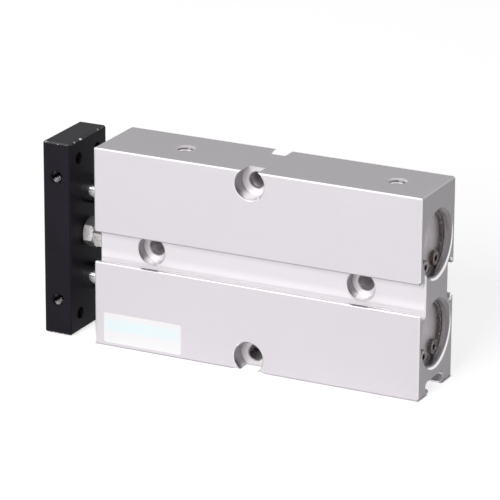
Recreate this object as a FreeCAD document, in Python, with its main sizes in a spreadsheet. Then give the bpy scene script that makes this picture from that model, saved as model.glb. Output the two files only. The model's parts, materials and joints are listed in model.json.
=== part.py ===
import FreeCAD, Part

import math
import os
import Sketcher

# Twin rod pneumatic cylinder, bore 16 and stroke 40, drawn in millimetres.
# The origin is the centre of the four body holes at mid thickness. X runs along
# the body away from the plate, Y runs through its thickness and Z stands up.

VEC = FreeCAD.Vector
COS30 = math.cos(math.radians(30.0))
UNDERCUT_ROUND = 0.4
FULL_TURN = 360.0
SIDES = ("upper", "lower")

SIZES = (
    # Working sizes
    ("stroke", 40.0),
    ("bore_radius", 8.0),
    ("seat_radius", 8.5),
    ("rod_radius", 4.0),
    # Extruded body: the web and the end walls are counted from the bores, the side
    # walls from the ring grooves
    ("bore_web", 8.0),
    ("end_wall", 7.0),
    ("side_wall", 1.5),
    ("edge_chamfer", 0.35),
    ("front_seat", 10.0),
    ("rear_seat", 10.0),
    ("mouth_chamfer", 0.85),
    # Grooves along the extrusion
    ("channel_mouth", 8.0),
    ("channel_land", 0.2),
    ("channel_depth", 3.5),
    ("slot_mouth", 7.4),
    ("slot_land", 0.5),
    ("slot_depth", 3.2),
    ("lip_thickness", 1.2),
    # Mounting holes in the body
    ("first_hole", 15.0),
    ("last_hole", 18.0),
    ("side_hole_margin", 3.5),
    ("body_thread_radius", 2.1),
    ("body_thread_chamfer", 0.25),
    ("channel_bore_radius", 3.9),
    ("channel_bore_depth", 7.0),
    ("side_bore_radius", 4.2),
    ("side_bore_depth", 4.7),
    ("head_bore_chamfer", 0.25),
    # Air ports
    ("port_radius", 2.1),
    ("port_depth", 5.0),
    ("port_chamfer", 0.5),
    ("passage_radius", 1.25),
    ("passage_margin", 0.25),
    # Retaining rings and their grooves
    ("ring_land", 2.0),
    ("ring_thickness", 1.0),
    ("ring_slack", 0.1),
    ("ring_groove_depth", 0.5),
    ("ring_band", 1.25),
    ("lug_inset", 0.7),
    ("lug_gap", 0.5),
    ("lug_eye_radius", 0.75),
    ("lug_angle", 30.0),
    ("ring_gap_angle", 24.0),
    ("ring_set_angle", 6.0),
    # Rod guides, with the seal and the bush that each one holds
    ("guide_lip", 1.2),
    ("guide_land", 0.7),
    ("rod_seal_section", 2.0),
    ("rod_seal_width", 3.0),
    ("seal_notch", 1.3),
    ("seal_lip", 0.55),
    ("bush_wall", 1.0),
    ("bush_length", 12.0),
    # Static rings round the guides and caps
    ("o_ring_section", 0.65),
    ("o_ring_slack", 0.4),
    ("o_ring_float", 0.03),
    ("o_ring_setback", 0.8),
    # Rear caps
    ("dish_wall", 2.5),
    ("dish_depth", 2.2),
    ("rear_bumper_thickness", 1.4),
    # Pistons, counted from the bore wall inwards
    ("end_gap", 0.4),
    ("rear_gap", 0.1),
    ("bumper_thickness", 2.0),
    ("bumper_gap", 1.5),
    ("piston_gap", 0.3),
    ("piston_chamfer", 0.5),
    ("piston_tail", 2.0),
    ("boss_wall", 3.0),
    ("magnet_width", 3.0),
    ("magnet_gap", 0.6),
    ("wear_land", 3.0),
    ("wear_width", 3.5),
    ("wear_depth", 1.2),
    ("wear_gap_angle", 6.0),
    ("seal_land", 1.5),
    ("piston_seal_width", 3.0),
    ("piston_seal_depth", 2.4),
    ("spigot_radius", 2.5),
    ("spigot_end", 0.5),
    # Piston nuts, with the corner cut of every hexagon
    ("piston_hex_width", 8.0),
    ("piston_nut_height", 4.0),
    ("hex_corner_cut", 0.3),
    # Stop bolt and its lock nut
    ("stop_hex_width", 7.0),
    ("lock_nut_height", 3.2),
    ("nut_gap", 0.1),
    ("bolt_head_height", 2.8),
    ("bolt_radius", 2.0),
    ("bolt_recess", 0.4),
    ("lock_nut_angle", -20.0),
    ("bolt_head_angle", 15.0),
    # Pad in the bolt head
    ("pad_thickness", 1.3),
    ("pad_radius", 3.0),
    ("pad_stem_radius", 1.5),
    ("pad_stem_length", 1.2),
    # Front plate, its threaded holes counted from its edges
    ("plate_thickness", 8.0),
    ("plate_height", 53.0),
    ("plate_width", 20.0),
    ("plate_chamfer", 0.4),
    ("plate_thread_radius", 1.65),
    ("plate_end_margin", 5.0),
    ("plate_side_margin", 5.0),
    ("side_thread_step", 4.5),
    ("side_thread_depth", 5.0),
    ("thread_chamfer", 0.35),
    ("rod_socket_depth", 1.2),
    # Screws that hold the rods
    ("screw_radius", 2.0),
    ("screw_length", 10.0),
    ("screw_head_radius", 3.5),
    ("screw_head_height", 4.0),
    ("screw_key_width", 3.0),
    ("screw_key_depth", 2.0),
    ("screw_bore_gap", 0.3),
    ("screw_recess", 0.2),
    ("rod_hole_spare", 1.6),
    # Clearances, all on the radius
    ("static_fit", 0.01),
    ("running_fit", 0.03),
    ("thread_fit", 0.02),
    ("free_gap", 0.3),
    ("small_chamfer", 0.4),
)

doc = FreeCAD.newDocument("twin_rod_cylinder")
sheet = doc.addObject("Spreadsheet::Sheet", "Sizes")


class Size:
    """A length that keeps its sheet expression beside its present value."""

    def __init__(self, text, value):
        self.text = text
        self.value = value

    def __add__(self, other):
        other = as_size(other)
        return Size("(%s + %s)" % (self.text, other.text), self.value + other.value)

    def __sub__(self, other):
        other = as_size(other)
        return Size("(%s - %s)" % (self.text, other.text), self.value - other.value)

    def __mul__(self, other):
        other = as_size(other)
        return Size("(%s * %s)" % (self.text, other.text), self.value * other.value)

    def __truediv__(self, other):
        other = as_size(other)
        return Size("(%s / %s)" % (self.text, other.text), self.value / other.value)

    def __neg__(self):
        return Size("(0 - %s)" % self.text, -self.value)


def as_size(number):
    if isinstance(number, Size):
        return number
    return Size("%.9g" % number, float(number))


def cosine(angle):
    return Size("cos(%s * 1 deg)" % angle.text, math.cos(math.radians(angle.value)))


def sine(angle):
    return Size("sin(%s * 1 deg)" % angle.text, math.sin(math.radians(angle.value)))


class SizeTable:
    """The sheet's named cells, one attribute each."""


def fill_sheet():
    table = SizeTable()
    for row, (name, value) in enumerate(SIZES, start=1):
        sheet.set("A%d" % row, name)
        sheet.set("B%d" % row, "%g" % value)
        sheet.setAlias("B%d" % row, name)
        setattr(table, name, Size("Sizes.%s" % name, value))
    doc.recompute()
    return table


s = fill_sheet()
ZERO = as_size(0.0)

# Sections through the body
groove_radius = s.seat_radius + s.ring_groove_depth
groove_width = s.ring_thickness + s.ring_slack
bore_height = s.bore_radius + s.bore_web / 2
half_height = bore_height + s.bore_radius + s.end_wall
half_thickness = groove_radius + s.side_wall
body_height = half_height * 2
body_thickness = half_thickness * 2
seat_fit_radius = s.seat_radius - s.static_fit
o_ring_floor = seat_fit_radius - s.o_ring_section * 2 - s.o_ring_float
o_ring_groove = s.o_ring_section * 2 + s.o_ring_slack
rod_seal_radius = s.rod_radius + s.rod_seal_section
bush_radius = s.rod_radius + s.bush_wall
dish_radius = s.seat_radius - s.dish_wall

# Lengths along the body, counted from its front face towards its rear face
to_guide = s.ring_land + groove_width
to_rod_seal = to_guide + s.guide_lip
to_bush = to_rod_seal + s.rod_seal_width + s.guide_land
to_chamber = to_bush + s.bush_length
piston_length = (s.magnet_width + s.wear_land + s.wear_width + s.seal_land
                 + s.piston_seal_width + s.piston_tail)
to_piston = to_chamber + s.end_gap + s.stroke + s.bumper_thickness
to_rod_end = to_piston + piston_length + s.piston_nut_height + s.spigot_end
body_length = to_rod_end + s.rear_gap + s.rear_seat
hole_spacing = body_length - s.first_hole - s.last_hole

# Stations along the body, with the origin half way between its channel holes
front_face = -(s.first_hole + hole_spacing / 2)
guide_front = front_face + to_guide
guide_shoulder = front_face + s.front_seat
guide_rear = front_face + to_chamber
piston_front = front_face + to_piston
bumper_front = piston_front - s.bumper_thickness
piston_rear = piston_front + piston_length
rod_rear = front_face + to_rod_end
cap_inner = rod_rear + s.rear_gap
rear_face = cap_inner + s.rear_seat
cap_outer = rear_face - to_guide

# Stations in front of the body, at the closed end of the stroke
head_front = front_face - s.pad_thickness - s.bolt_head_height
plate_rear = head_front - s.nut_gap - s.lock_nut_height
plate_front = plate_rear - s.plate_thickness
screw_seat = plate_front + s.screw_head_height + s.screw_recess
rod_front = plate_rear - s.rod_socket_depth
plate_row = s.plate_height / 2 - s.plate_end_margin


def new_body(label):
    body = doc.addObject("PartDesign::Body", label)
    body.Label = label
    return body


def plane(body, role):
    return [item for item in body.Origin.OriginFeatures if item.Role == role][0]


def drive(thing, prop, size):
    """Bind one property to the sheet."""
    thing.setExpression(prop, as_size(size).text)


def new_sketch(body, name, role, shift=(0, 0, 0)):
    """A sketch on an origin plane, moved in its own right, up and out directions."""
    sketch = body.newObject("Sketcher::SketchObject", "%s_%s" % (body.Name, name))
    sketch.AttachmentSupport = [(plane(body, role), "")]
    sketch.MapMode = "FlatFace"
    sketch.AttachmentOffset = FreeCAD.Placement(VEC(*[as_size(v).value for v in shift]), FreeCAD.Rotation())
    for axis, value in zip("xyz", shift):
        if isinstance(value, Size):
            drive(sketch, "AttachmentOffset.Base.%s" % axis, value)
    return sketch


def bind_distance(sketch, kind, geometry, point, size):
    """Hold one coordinate of a point at a size measured from the sketch's origin."""
    if abs(size.value) < 1e-9 and size.text == ZERO.text:
        axis = -2 if kind == "DistanceX" else -1
        sketch.addConstraint(Sketcher.Constraint("PointOnObject", geometry, point, axis))
        return
    index = sketch.addConstraint(Sketcher.Constraint(kind, -1, 1, geometry, point, size.value))
    drive(sketch, "Constraints[%d]" % index, size)


def add_outline(sketch, corners):
    """A closed outline. A corner is (x, y), or (x, y, centre_x, centre_y, turn) where an
    arc leaves it, with turn 1 counterclockwise and -1 clockwise."""
    corners = [tuple(as_size(v) for v in corner[:4]) + tuple(corner[4:]) for corner in corners]
    first = sketch.GeometryCount
    starts = []
    ends = []
    for number, corner in enumerate(corners):
        following = corners[(number + 1) % len(corners)]
        begin = VEC(corner[0].value, corner[1].value, 0)
        finish = VEC(following[0].value, following[1].value, 0)
        if len(corner) == 2:
            sketch.addGeometry(Part.LineSegment(begin, finish), False)
            starts.append(1)
            ends.append(2)
            continue
        centre = VEC(corner[2].value, corner[3].value, 0)
        circle = Part.Circle(centre, VEC(0, 0, 1), (begin - centre).Length)
        low, high = (begin, finish) if corner[4] > 0 else (finish, begin)
        angles = [math.atan2(p.y - centre.y, p.x - centre.x) for p in (low, high)]
        if angles[1] <= angles[0]:
            angles[1] += 2 * math.pi
        sketch.addGeometry(Part.ArcOfCircle(circle, angles[0], angles[1]), False)
        starts.append(1 if corner[4] > 0 else 2)
        ends.append(2 if corner[4] > 0 else 1)
    for number, corner in enumerate(corners):
        geometry = first + number
        following = (number + 1) % len(corners)
        sketch.addConstraint(Sketcher.Constraint(
            "Coincident", geometry, ends[number], first + following, starts[following]))
        bind_distance(sketch, "DistanceX", geometry, starts[number], corner[0])
        bind_distance(sketch, "DistanceY", geometry, starts[number], corner[1])
        if len(corner) > 2:
            level = abs(corner[1].value - corners[following][1].value) < 1e-6
            if level:
                bind_distance(sketch, "DistanceY", geometry, 3, corner[3])
            else:
                bind_distance(sketch, "DistanceX", geometry, 3, corner[2])


def add_circle(sketch, x, y, radius):
    x, y, radius = as_size(x), as_size(y), as_size(radius)
    index = sketch.addGeometry(Part.Circle(VEC(x.value, y.value, 0), VEC(0, 0, 1), radius.value), False)
    bind_distance(sketch, "DistanceX", index, 3, x)
    bind_distance(sketch, "DistanceY", index, 3, y)
    round_index = sketch.addConstraint(Sketcher.Constraint("Radius", index, radius.value))
    drive(sketch, "Constraints[%d]" % round_index, radius)


def box_outline(low_x, high_x, low_y, high_y):
    return [(low_x, low_y), (high_x, low_y), (high_x, high_y), (low_x, high_y)]


def pad(body, sketch, length, backwards=False):
    feature = body.newObject("PartDesign::Pad", sketch.Name + "_pad")
    feature.Profile = sketch
    feature.Reversed = backwards
    drive(feature, "Length", length)
    return feature


def pocket(body, sketch, depth, backwards=False):
    feature = body.newObject("PartDesign::Pocket", sketch.Name + "_pocket")
    feature.Profile = sketch
    feature.Reversed = backwards
    drive(feature, "Length", depth)
    return feature


def turned(body, sketch, kind="PartDesign::Revolution", axis="H_Axis", turn=FULL_TURN):
    """A revolution or groove about one axis of its sketch."""
    feature = body.newObject(kind, sketch.Name + "_turned")
    feature.Profile = sketch
    feature.ReferenceAxis = (sketch, [axis])
    drive(feature, "Angle", turn)
    return feature


def mirrored(body, features, role, name):
    feature = body.newObject("PartDesign::Mirrored", "%s_%s" % (body.Name, name))
    feature.Originals = features
    feature.MirrorPlane = (plane(body, role), [""])
    body.Tip = feature
    return feature


def block(body, low_x, length, width, height):
    """A block centred on the X axis."""
    sketch = new_sketch(body, "block", "YZ_Plane", (0, 0, low_x))
    add_outline(sketch, box_outline(-(width / 2), width / 2, -(height / 2), height / 2))
    pad(body, sketch, length)


def break_edges(body, chamfer, wanted):
    """Break the edges that a test picks from the shape so far."""
    doc.recompute()
    base = body.Tip
    names = ["Edge%d" % number for number, edge in enumerate(base.Shape.Edges, start=1) if wanted(edge)]
    broken = body.newObject("PartDesign::Chamfer", body.Name + "_edges")
    broken.Base = (base, names)
    drive(broken, "Size", chamfer)
    body.Tip = broken
    doc.recompute()


def is_outer_edge(edge):
    """True for the body's four long edges and for every edge of its two end faces."""
    box = edge.BoundBox
    across_x = box.XLength < 1e-6
    at_side = abs(abs(box.YMin) - half_thickness.value) < 1e-6 and box.YLength < 1e-6
    at_top_or_bottom = abs(abs(box.ZMin) - half_height.value) < 1e-6 and box.ZLength < 1e-6
    return across_x or (at_side and at_top_or_bottom)


def tee_outline(mouth, land, depth, lip, across, inward, handed):
    """A groove with round lips and rounded undercuts, open at the face it starts from.
    across and inward map the groove's own two directions to the sketch's x and y, and
    handed is -1 where they swap them."""
    nose = lip / 2
    rounding = (depth - lip) * UNDERCUT_ROUND
    mouth_edge = mouth / 2 + nose
    under_edge = mouth_edge + land
    wall = under_edge + rounding
    low = lip + rounding
    high = depth - rounding

    def corner(along, down, centre_along=None, centre_down=None, turn=1):
        along, down = as_size(along), as_size(down)
        x, y = across(along, down), inward(along, down)
        if centre_along is None:
            return (x, y)
        cx, cy = across(centre_along, centre_down), inward(centre_along, centre_down)
        return (x, y, cx, cy, turn * handed)

    return [
        corner(-mouth_edge, ZERO, -mouth_edge, nose),
        corner(-mouth_edge, lip),
        corner(-under_edge, lip, -under_edge, low, -1),
        corner(-wall, low),
        corner(-wall, high, -under_edge, high, -1),
        corner(-under_edge, depth),
        corner(under_edge, depth, under_edge, high, -1),
        corner(wall, high),
        corner(wall, low, under_edge, low, -1),
        corner(under_edge, lip),
        corner(mouth_edge, lip, mouth_edge, nose),
        corner(mouth_edge, ZERO),
    ]


def cut_channels(body):
    """The undercut channels along the middle of the front and back faces."""
    sketch = new_sketch(body, "channel", "YZ_Plane", (0, 0, front_face))
    add_outline(sketch, tee_outline(
        s.channel_mouth, s.channel_land, s.channel_depth, s.lip_thickness,
        lambda along, down: down - half_thickness, lambda along, down: along, -1))
    channel = pocket(body, sketch, body_length, True)
    mirrored(body, [channel], "XZ_Plane", "back_channel")


def cut_sensor_slot(body):
    """The sensor slot along the bottom face, with the same kind of lips."""
    sketch = new_sketch(body, "sensor_slot", "YZ_Plane", (0, 0, front_face))
    add_outline(sketch, tee_outline(
        s.slot_mouth, s.slot_land, s.slot_depth, s.lip_thickness,
        lambda along, down: along, lambda along, down: down - half_height, 1))
    pocket(body, sketch, body_length, True)


def cut_bores(body):
    """Both bores, each with its end seats, ring grooves and chamfered mouths."""
    sketch = new_sketch(body, "bore", "XZ_Plane", (0, bore_height, 0))
    mouth = s.seat_radius + s.mouth_chamfer
    add_outline(sketch, [
        (front_face, 0),
        (rear_face, 0),
        (rear_face, mouth),
        (rear_face - s.mouth_chamfer, s.seat_radius),
        (rear_face - s.ring_land, s.seat_radius),
        (rear_face - s.ring_land, groove_radius),
        (cap_outer, groove_radius),
        (cap_outer, s.seat_radius),
        (cap_inner, s.seat_radius),
        (cap_inner, s.bore_radius),
        (guide_shoulder, s.bore_radius),
        (guide_shoulder, s.seat_radius),
        (guide_front, s.seat_radius),
        (guide_front, groove_radius),
        (front_face + s.ring_land, groove_radius),
        (front_face + s.ring_land, s.seat_radius),
        (front_face + s.mouth_chamfer, s.seat_radius),
        (front_face, mouth),
    ])
    bore = turned(body, sketch, "PartDesign::Groove")
    mirrored(body, [bore], "XY_Plane", "lower_bore")


def cut_body_holes(body):
    """Four threaded holes right through, with a screw head bore at each end."""
    outside = (0, 0, half_thickness)
    side = half_height - s.side_hole_margin
    along = hole_spacing / 2
    threads = new_sketch(body, "threads", "XZ_Plane", outside)
    channel_bores = new_sketch(body, "channel_bores", "XZ_Plane", outside)
    side_bores = new_sketch(body, "side_bores", "XZ_Plane", outside)
    for station in (-along, along):
        add_circle(threads, station, 0, s.body_thread_radius)
        add_circle(channel_bores, station, 0, s.channel_bore_radius)
    for height in (-side, side):
        add_circle(threads, 0, height, s.body_thread_radius)
        add_circle(side_bores, 0, height, s.side_bore_radius)
    pocket(body, threads, body_thickness)
    near = [
        pocket(body, channel_bores, s.channel_bore_depth),
        pocket(body, side_bores, s.side_bore_depth),
    ]
    channel_floor = s.channel_depth - half_thickness
    for name, station, height, face, radius, depth in (
            ("front_hole", -along, ZERO, channel_floor, s.channel_bore_radius, s.channel_bore_depth),
            ("rear_hole", along, ZERO, channel_floor, s.channel_bore_radius, s.channel_bore_depth),
            ("upper_hole", ZERO, side, -half_thickness, s.side_bore_radius, s.side_bore_depth),
            ("lower_hole", ZERO, -side, -half_thickness, s.side_bore_radius, s.side_bore_depth)):
        near.append(break_hole_edge(body, name + "_head", station, height, face, radius, s.head_bore_chamfer))
        near.append(break_hole_edge(body, name + "_thread", station, height, depth - half_thickness,
                                    s.body_thread_radius, s.body_thread_chamfer))
    mirrored(body, near, "XZ_Plane", "back_head_bores")


def break_hole_edge(body, name, station, height, face, radius, chamfer):
    """Break the edge of a hole along Y where it starts from a face on the near side."""
    sketch = new_sketch(body, name + "_edge", "XY_Plane", (station, 0, height))
    add_outline(sketch, [
        (0, face),
        (0, face + chamfer),
        (radius, face + chamfer),
        (radius + chamfer, face),
    ])
    return turned(body, sketch, "PartDesign::Groove", "V_Axis")


def cut_ports(body):
    """Threaded ports in the top face. Each one's passage goes through the upper bore
    and the wall under it into the lower bore, at the end of the piston's travel."""
    offset = s.passage_radius + s.passage_margin
    for name, station in (("front_port", guide_rear + offset), ("rear_port", cap_inner - offset)):
        sketch = new_sketch(body, name, "XZ_Plane", (station, 0, 0))
        floor = half_height - s.port_depth
        add_outline(sketch, [
            (0, half_height),
            (0, -bore_height),
            (s.passage_radius, -bore_height),
            (s.passage_radius, floor),
            (s.port_radius, floor),
            (s.port_radius, half_height - s.port_chamfer),
            (s.port_radius + s.port_chamfer, half_height),
        ])
        turned(body, sketch, "PartDesign::Groove", "V_Axis")


def make_cylinder_body():
    body = new_body("cylinder_body")
    block(body, front_face, body_length, body_thickness, body_height)
    cut_channels(body)
    cut_sensor_slot(body)
    break_edges(body, s.edge_chamfer, is_outer_edge)
    cut_bores(body)
    cut_body_holes(body)
    cut_ports(body)
    return body


def on_bore(body, side):
    """Put a piece that was drawn about the X axis on the upper or lower bore."""
    drive(body, "Placement.Base.z", bore_height if side == "upper" else -bore_height)
    return body


def turned_piece(label, corners, turn=FULL_TURN):
    body = new_body(label)
    sketch = new_sketch(body, "profile", "XY_Plane")
    add_outline(sketch, corners)
    turned(body, sketch, turn=turn)
    return body


def ring_outline(low_x, high_x, inner, outer):
    return box_outline(low_x, high_x, inner, outer)


def make_rod_guide(side):
    """The front cover of one bore: it holds the rod seal and the bush."""
    free = s.rod_radius + s.free_gap
    seal_front = front_face + to_rod_seal
    seal_rear = seal_front + s.rod_seal_width
    groove_rear = guide_shoulder - s.o_ring_setback
    groove_front = groove_rear - o_ring_groove
    bush_front = front_face + to_bush
    nose = s.bore_radius - s.static_fit
    return on_bore(turned_piece(side + "_rod_guide", [
        (guide_front, free),
        (seal_front, free),
        (seal_front, rod_seal_radius),
        (seal_rear, rod_seal_radius),
        (seal_rear, free),
        (bush_front, free),
        (bush_front, bush_radius),
        (guide_rear, bush_radius),
        (guide_rear, nose),
        (guide_shoulder, nose),
        (guide_shoulder, seat_fit_radius),
        (groove_rear, seat_fit_radius),
        (groove_rear, o_ring_floor),
        (groove_front, o_ring_floor),
        (groove_front, seat_fit_radius),
        (guide_front + s.small_chamfer, seat_fit_radius),
        (guide_front, seat_fit_radius - s.small_chamfer),
    ]), side)


def make_rod_bush(side):
    return on_bore(turned_piece(side + "_rod_bush", ring_outline(
        front_face + to_bush, guide_rear,
        s.rod_radius + s.running_fit, bush_radius - s.static_fit)), side)


def lip_seal_outline(low_x, width, inner, outer):
    """A seal with two lips that open towards the pressure, on the rear side."""
    high_x = low_x + width
    middle = (inner + outer) / 2
    return [
        (low_x, inner),
        (high_x, inner),
        (high_x, inner + s.seal_lip),
        (high_x - s.seal_notch, middle),
        (high_x, outer - s.seal_lip),
        (high_x, outer),
        (low_x, outer),
    ]


def make_rod_seal(side):
    seal_front = front_face + to_rod_seal + s.static_fit
    return on_bore(turned_piece(side + "_rod_seal", lip_seal_outline(
        seal_front, s.rod_seal_width - s.static_fit * 2,
        s.rod_radius + s.running_fit, rod_seal_radius - s.static_fit)), side)


def make_o_ring(label, station, side):
    """A round section ring that touches the seat wall round a guide or a cap."""
    body = new_body(label)
    sketch = new_sketch(body, "section", "XY_Plane")
    add_circle(sketch, station, seat_fit_radius - s.o_ring_section, s.o_ring_section)
    turned(body, sketch)
    return on_bore(body, side)


def make_guide_o_ring(side):
    station = guide_shoulder - s.o_ring_setback - o_ring_groove / 2
    return make_o_ring(side + "_guide_o_ring", station, side)


def make_cap_o_ring(side):
    station = cap_inner + s.dish_depth + s.o_ring_setback + o_ring_groove / 2
    return make_o_ring(side + "_cap_o_ring", station, side)


def make_circlip(label, low_x, side):
    """A retaining ring with two eyed lugs, its gap turned down. The lugs stay clear
    of the rod."""
    body = new_body(label)
    outer = groove_radius - s.static_fit
    band = new_sketch(body, "band", "YZ_Plane", (0, 0, low_x))
    add_circle(band, 0, 0, outer)
    add_circle(band, 0, 0, outer - s.ring_band)
    pad(body, band, s.ring_thickness)
    gap = new_sketch(body, "gap", "YZ_Plane", (0, 0, low_x))
    add_outline(gap, [
        (0, 0),
        on_ring(outer * 2, s.ring_set_angle - s.ring_gap_angle),
        on_ring(outer * 2, s.ring_set_angle + s.ring_gap_angle),
    ])
    pocket(body, gap, s.ring_thickness, True)
    lugs = new_sketch(body, "lugs", "YZ_Plane", (0, 0, low_x))
    eyes = new_sketch(body, "eyes", "YZ_Plane", (0, 0, low_x))
    lug_inner = s.rod_radius + s.lug_gap
    lug_radius = (outer - s.lug_inset - lug_inner) / 2
    for angle in (s.ring_set_angle - s.lug_angle, s.ring_set_angle + s.lug_angle):
        across, up = on_ring(lug_inner + lug_radius, angle)
        add_circle(lugs, across, up, lug_radius)
        add_circle(eyes, across, up, s.lug_eye_radius)
    pad(body, lugs, s.ring_thickness)
    pocket(body, eyes, s.ring_thickness, True)
    return on_bore(body, side)


def on_ring(radius, angle):
    """The point at a radius, turned by an angle from straight down."""
    return radius * sine(angle), -(radius * cosine(angle))


def make_front_circlip(side):
    return make_circlip(side + "_front_circlip", guide_front - s.ring_thickness, side)


def make_rear_circlip(side):
    return make_circlip(side + "_rear_circlip", cap_outer, side)


def make_rear_cap(side):
    """The plug that closes the rear of one bore, dished for the bumper and the rod end."""
    dish_floor = cap_inner + s.dish_depth
    groove_front = dish_floor + s.o_ring_setback
    groove_rear = groove_front + o_ring_groove
    return on_bore(turned_piece(side + "_rear_cap", [
        (dish_floor, 0),
        (dish_floor, dish_radius),
        (cap_inner, dish_radius),
        (cap_inner, seat_fit_radius),
        (groove_front, seat_fit_radius),
        (groove_front, o_ring_floor),
        (groove_rear, o_ring_floor),
        (groove_rear, seat_fit_radius),
        (cap_outer - s.small_chamfer, seat_fit_radius),
        (cap_outer, seat_fit_radius - s.small_chamfer),
        (cap_outer, 0),
    ]), side)


def make_rear_bumper(side):
    dish_floor = cap_inner + s.dish_depth
    return on_bore(turned_piece(side + "_rear_bumper", box_outline(
        dish_floor - s.rear_bumper_thickness, dish_floor,
        0, dish_radius - s.static_fit)), side)


def make_piston_rod(side):
    """A rod with a tapped front end and a threaded spigot for the piston."""
    hole = s.screw_radius + s.thread_fit
    hole_end = screw_seat + s.screw_length + s.rod_hole_spare
    return on_bore(turned_piece(side + "_piston_rod", [
        (hole_end + hole / 2, 0),
        (hole_end, hole),
        (rod_front, hole),
        (rod_front, s.rod_radius - s.small_chamfer),
        (rod_front + s.small_chamfer, s.rod_radius),
        (piston_front, s.rod_radius),
        (piston_front, s.spigot_radius),
        (rod_rear - s.small_chamfer, s.spigot_radius),
        (rod_rear, s.spigot_radius - s.small_chamfer),
        (rod_rear, 0),
    ]), side)


def make_piston(side):
    """A piston with a boss for the magnet and grooves for its wear ring and seal."""
    rim = s.bore_radius - s.piston_gap
    hole = s.spigot_radius + s.static_fit
    boss = s.spigot_radius + s.boss_wall
    wear_floor = s.bore_radius - s.wear_depth
    seal_floor = s.bore_radius - s.piston_seal_depth
    magnet_rear = piston_front + s.magnet_width
    wear_front = magnet_rear + s.wear_land
    wear_rear = wear_front + s.wear_width
    seal_front = wear_rear + s.seal_land
    seal_rear = seal_front + s.piston_seal_width
    return on_bore(turned_piece(side + "_piston", [
        (piston_front, hole),
        (piston_front, boss),
        (magnet_rear, boss),
        (magnet_rear, rim),
        (wear_front, rim),
        (wear_front, wear_floor),
        (wear_rear, wear_floor),
        (wear_rear, rim),
        (seal_front, rim),
        (seal_front, seal_floor),
        (seal_rear, seal_floor),
        (seal_rear, rim),
        (piston_rear - s.piston_chamfer, rim),
        (piston_rear, rim - s.piston_chamfer),
        (piston_rear, hole),
    ]), side)


def make_magnet_ring(side):
    return on_bore(turned_piece(side + "_magnet_ring", ring_outline(
        piston_front, piston_front + s.magnet_width,
        s.spigot_radius + s.boss_wall + s.static_fit, s.bore_radius - s.magnet_gap)), side)


def make_wear_ring(side):
    """A split guide ring in the piston's middle groove."""
    low_x = piston_front + s.magnet_width + s.wear_land + s.static_fit
    return on_bore(turned_piece(side + "_wear_ring", ring_outline(
        low_x, low_x + s.wear_width - s.static_fit * 2,
        s.bore_radius - s.wear_depth + s.static_fit, s.bore_radius - s.running_fit),
        as_size(FULL_TURN) - s.wear_gap_angle), side)


def make_piston_seal(side):
    low_x = piston_front + s.magnet_width + s.wear_land + s.wear_width + s.seal_land + s.static_fit
    return on_bore(turned_piece(side + "_piston_seal", lip_seal_outline(
        low_x, s.piston_seal_width - s.static_fit * 2,
        s.bore_radius - s.piston_seal_depth + s.static_fit, s.bore_radius - s.running_fit)), side)


def make_front_bumper(side):
    return on_bore(turned_piece(side + "_front_bumper", ring_outline(
        bumper_front, piston_front, s.rod_radius + s.static_fit, s.bore_radius - s.bumper_gap)), side)


def add_hexagon(sketch, width, turn):
    """Six sides with the first corner turned from the -Y direction."""
    reach = width / (2 * COS30)
    corners = []
    for step in range(6):
        angle = turn + 60.0 * step
        corners.append((-(reach * cosine(angle)), reach * sine(angle)))
    add_outline(sketch, corners)


def break_hexagon(body, name, width, face, inward):
    """Turn the six corners down at one face of a hexagon."""
    sketch = new_sketch(body, name, "XY_Plane")
    outside = width
    start = width / 2 - s.hex_corner_cut
    rise = (outside - start) * math.tan(math.radians(30.0))
    add_outline(sketch, [(face, start), (face, outside), (face + rise * inward, outside)])
    turned(body, sketch, "PartDesign::Groove")


def make_nut(label, low_x, height, width, radius, turn):
    body = new_body(label)
    sketch = new_sketch(body, "hexagon", "YZ_Plane", (0, 0, low_x))
    add_hexagon(sketch, width, turn)
    add_circle(sketch, 0, 0, radius)
    pad(body, sketch, height)
    break_hexagon(body, "front_corners", width, low_x, 1.0)
    break_hexagon(body, "rear_corners", width, low_x + height, -1.0)
    return body


def make_piston_nut(side):
    nut = make_nut(side + "_piston_nut", piston_rear, s.piston_nut_height, s.piston_hex_width,
                   s.spigot_radius + s.thread_fit, ZERO)
    return on_bore(nut, side)


def make_stop_nut():
    return make_nut("stop_nut", plate_rear, s.lock_nut_height, s.stop_hex_width,
                    s.bolt_radius + s.thread_fit, s.lock_nut_angle)


def make_stop_bolt():
    """The hexagon bolt that ends the return stroke, with a hole for its pad's stem."""
    body = new_body("stop_bolt")
    shank = new_sketch(body, "shank", "YZ_Plane", (0, 0, plate_front + s.bolt_recess))
    add_circle(shank, 0, 0, s.bolt_radius)
    pad(body, shank, head_front - plate_front - s.bolt_recess)
    head = new_sketch(body, "head", "YZ_Plane", (0, 0, head_front))
    add_hexagon(head, s.stop_hex_width, s.bolt_head_angle)
    pad(body, head, s.bolt_head_height)
    head_rear = head_front + s.bolt_head_height
    break_hexagon(body, "head_corners", s.stop_hex_width, head_rear, -1.0)
    hole = new_sketch(body, "pad_hole", "YZ_Plane", (0, 0, head_rear))
    add_circle(hole, 0, 0, s.pad_stem_radius + s.static_fit)
    pocket(body, hole, s.pad_stem_length)
    return body


def make_stop_pad():
    head_rear = head_front + s.bolt_head_height
    return turned_piece("stop_pad", [
        (head_rear - s.pad_stem_length, 0),
        (head_rear - s.pad_stem_length, s.pad_stem_radius),
        (head_rear, s.pad_stem_radius),
        (head_rear, s.pad_radius),
        (front_face, s.pad_radius),
        (front_face, 0),
    ])


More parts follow.
